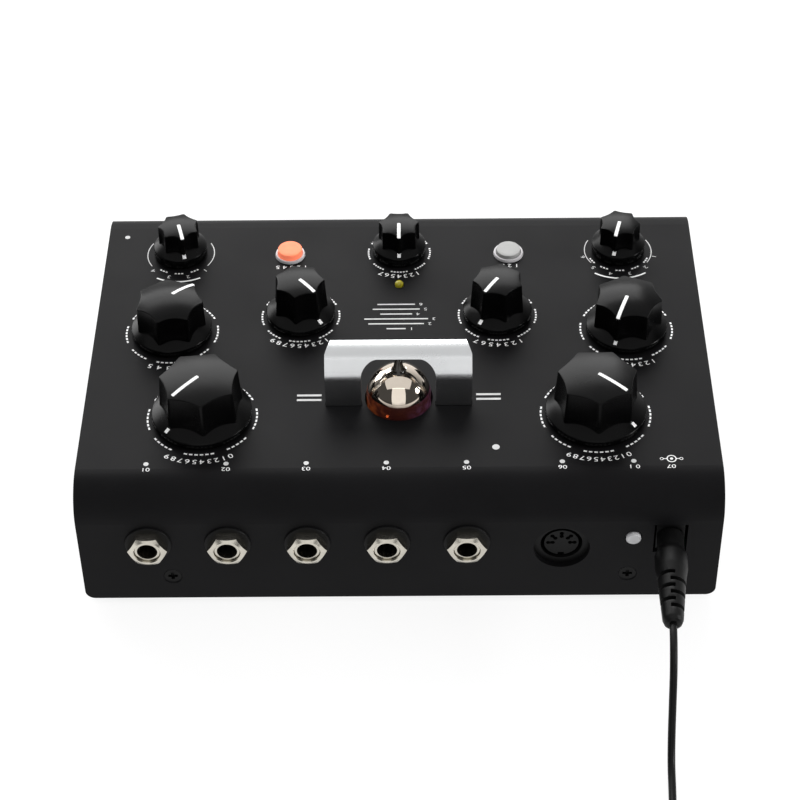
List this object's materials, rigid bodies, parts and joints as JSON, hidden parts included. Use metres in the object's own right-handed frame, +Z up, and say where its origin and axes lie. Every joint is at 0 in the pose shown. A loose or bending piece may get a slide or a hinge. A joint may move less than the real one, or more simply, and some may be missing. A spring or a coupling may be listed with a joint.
{
  "type": "desktop delay unit",
  "caption": "Desktop audio delay box with turning knobs on a bent black cover, push buttons, a guarded valve, rear sockets and a coiled supply lead.",
  "frame": {"origin": "on the table, under the middle of the case and of the sockets that reach past its rear wall", "axes": "+Z up, +Y towards the rear wall with the sockets, -Y towards the user, +X to the user's right as they face +Y"},
  "size_m": [0.205, 0.3269, 0.07],
  "materials": {
    "case_coat": "matt black powder coat with a fine grain",
    "screw_black": "blackened steel",
    "rubber": "matt black rubber",
    "guard_metal": "satin blasted aluminium",
    "nickel": "bright nickel plate",
    "valve_glass": "glass with a silver mirror inside the dome",
    "clear_glass": "pressed glass",
    "electrode": "grey carbonised metal",
    "ceramic": "cream glazed ceramic",
    "pot_steel": "pressed steel",
    "knob_black": "black moulded knob with satin top",
    "shaft_metal": "turned aluminium",
    "button_ring": "satin plated ring",
    "bypass_cap": "translucent cap lit from below",
    "tap_cap": "translucent grey cap",
    "power_cap": "light grey plastic",
    "lamp_lens": "translucent yellow lamp",
    "black_plastic": "black moulded plastic",
    "cord_skin": "black soft plastic",
    "board": "green circuit board",
    "pillar_brass": "plain brass",
    "capacitor": "dark blue sleeve"
  },
  "bodies": {
    "case": {"top_cover": "case_coat", "base_pan": "case_coat", "cover_screws": "screw_black", "rubber_feet": "rubber", "tube_guard": "guard_metal", "guard_nuts": "nickel", "tube_glass": "valve_glass", "tube_base": "clear_glass", "tube_electrodes": "electrode", "tube_pins": "nickel", "tube_socket": "ceramic", "pot_bodies": "pot_steel", "switch_bodies": "black_plastic", "bushing_nuts": "nickel", "button_rings": "button_ring", "button_switches": "black_plastic", "power_switch": "black_plastic", "level_lamp": "lamp_lens", "jack_bodies": "black_plastic", "jack_sleeves": "nickel", "jack_nuts": "nickel", "jack_washers": "black_plastic", "din_shell": "black_plastic", "din_insert": "black_plastic", "dc_socket": "black_plastic", "main_board": "board", "control_board": "board", "board_pillars": "pillar_brass", "board_screws": "nickel", "board_header": "black_plastic", "board_chips": "black_plastic", "board_capacitors": "capacitor", "dc_plug": "cord_skin", "dc_plug_barrel": "nickel", "power_cord": "cord_skin", "cord_coil": "cord_skin", "cord_tie": "cord_skin", "power_adapter": "black_plastic", "adapter_pins": "nickel"},
    "cutoff_knob": {"knob_cutoff": "knob_black", "shaft_cutoff": "shaft_metal"},
    "time_knob": {"knob_time": "knob_black", "shaft_time": "shaft_metal"},
    "drive_knob": {"knob_drive": "knob_black", "shaft_drive": "shaft_metal"},
    "feedback_knob": {"knob_feedback": "knob_black", "shaft_feedback": "shaft_metal"},
    "resonance_knob": {"knob_resonance": "knob_black", "shaft_resonance": "shaft_metal"},
    "mix_knob": {"knob_mix": "knob_black", "shaft_mix": "shaft_metal"},
    "filter_mode_knob": {"knob_filter_mode": "knob_black", "shaft_filter_mode": "shaft_metal"},
    "level_knob": {"knob_level": "knob_black", "shaft_level": "shaft_metal"},
    "delay_mode_knob": {"knob_delay_mode": "knob_black", "shaft_delay_mode": "shaft_metal"},
    "bypass_key": {"bypass_button": "bypass_cap"},
    "tap_key": {"tap_button": "tap_cap"},
    "power_key": {"power_button": "power_cap"}
  },
  "joints": [
    {"name": "cutoff_turn", "type": "hinge", "parent": "case", "child": "cutoff_knob", "pos_m": [0.0636, 0.03425, 0.05], "axis": [0, 0, 1], "range_deg": [-105, 195]},
    {"name": "time_turn", "type": "hinge", "parent": "case", "child": "time_knob", "pos_m": [-0.0636, 0.03425, 0.05], "axis": [0, 0, 1], "range_deg": [-202, 98]},
    {"name": "drive_turn", "type": "hinge", "parent": "case", "child": "drive_knob", "pos_m": [0.0764, -0.00705, 0.05], "axis": [0, 0, 1], "range_deg": [-288, 12]},
    {"name": "feedback_turn", "type": "hinge", "parent": "case", "child": "feedback_knob", "pos_m": [-0.0764, -0.00705, 0.05], "axis": [0, 0, 1], "range_deg": [-128, 172]},
    {"name": "resonance_turn", "type": "hinge", "parent": "case", "child": "resonance_knob", "pos_m": [0.0333, -0.01485, 0.05], "axis": [0, 0, 1], "range_deg": [-193, 107]},
    {"name": "mix_turn", "type": "hinge", "parent": "case", "child": "mix_knob", "pos_m": [-0.0333, -0.01485, 0.05], "axis": [0, 0, 1], "range_deg": [-114, 186]},
    {"name": "filter_mode_turn", "type": "hinge", "parent": "case", "child": "filter_mode_knob", "pos_m": [0.0764, -0.04825, 0.05], "axis": [0, 0, 1], "range_deg": [-60, 30]},
    {"name": "level_turn", "type": "hinge", "parent": "case", "child": "level_knob", "pos_m": [0, -0.04825, 0.05], "axis": [0, 0, 1], "range_deg": [-150, 150]},
    {"name": "delay_mode_turn", "type": "hinge", "parent": "case", "child": "delay_mode_knob", "pos_m": [-0.0764, -0.04825, 0.05], "axis": [0, 0, 1], "range_deg": [-60, 90]},
    {"name": "bypass_press", "type": "slide", "parent": "case", "child": "bypass_key", "axis": [0, 0, -1], "range_m": [0, 0.0012], "stiffness_N_per_m": 900, "springref_m": -0.0006},
    {"name": "tap_press", "type": "slide", "parent": "case", "child": "tap_key", "axis": [0, 0, -1], "range_m": [0, 0.0012], "stiffness_N_per_m": 900, "springref_m": -0.0006},
    {"name": "power_press", "type": "slide", "parent": "case", "child": "power_key", "axis": [0, -1, 0], "range_m": [0, 0.0016], "stiffness_N_per_m": 900, "springref_m": -0.0008}
  ]
}
